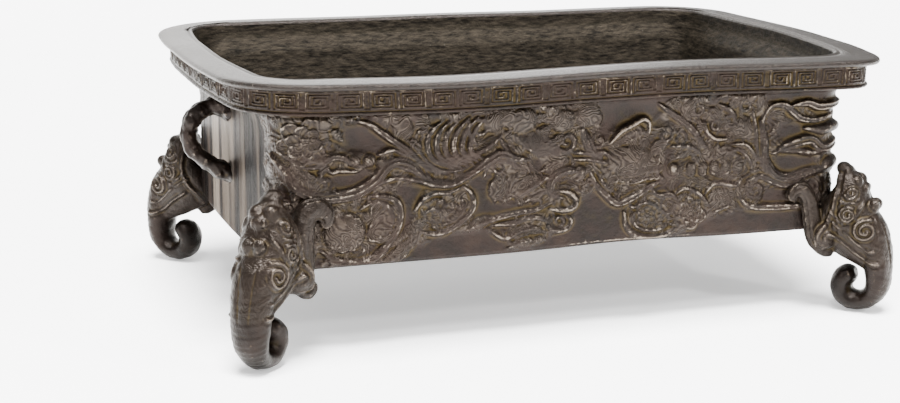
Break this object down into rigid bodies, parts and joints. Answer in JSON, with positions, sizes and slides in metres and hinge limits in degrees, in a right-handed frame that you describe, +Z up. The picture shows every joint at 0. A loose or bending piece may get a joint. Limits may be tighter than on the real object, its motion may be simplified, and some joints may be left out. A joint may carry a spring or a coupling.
{
  "type": "jardiniere",
  "caption": "Rectangular cast bronze jardiniere with a flat overhanging lip, fret band, relief-carved long walls, loop handles and elephant-mask feet with curled trunks.",
  "frame": {"origin": "on the ground under the middle of the trough", "axes": "+X along the length, to the right as seen from the carved front; +Y from front to back; +Z up"},
  "size_m": [0.378, 0.2572, 0.145],
  "materials": {
    "bronze": "dark brown patina, worn paler on the high points, earth in the recesses"
  },
  "bodies": {
    "root": {"trough": "bronze", "foot_front_left": "bronze", "foot_front_right": "bronze", "foot_back_left": "bronze", "foot_back_right": "bronze", "handle_left": "bronze", "handle_right": "bronze"}
  },
  "joints": []
}
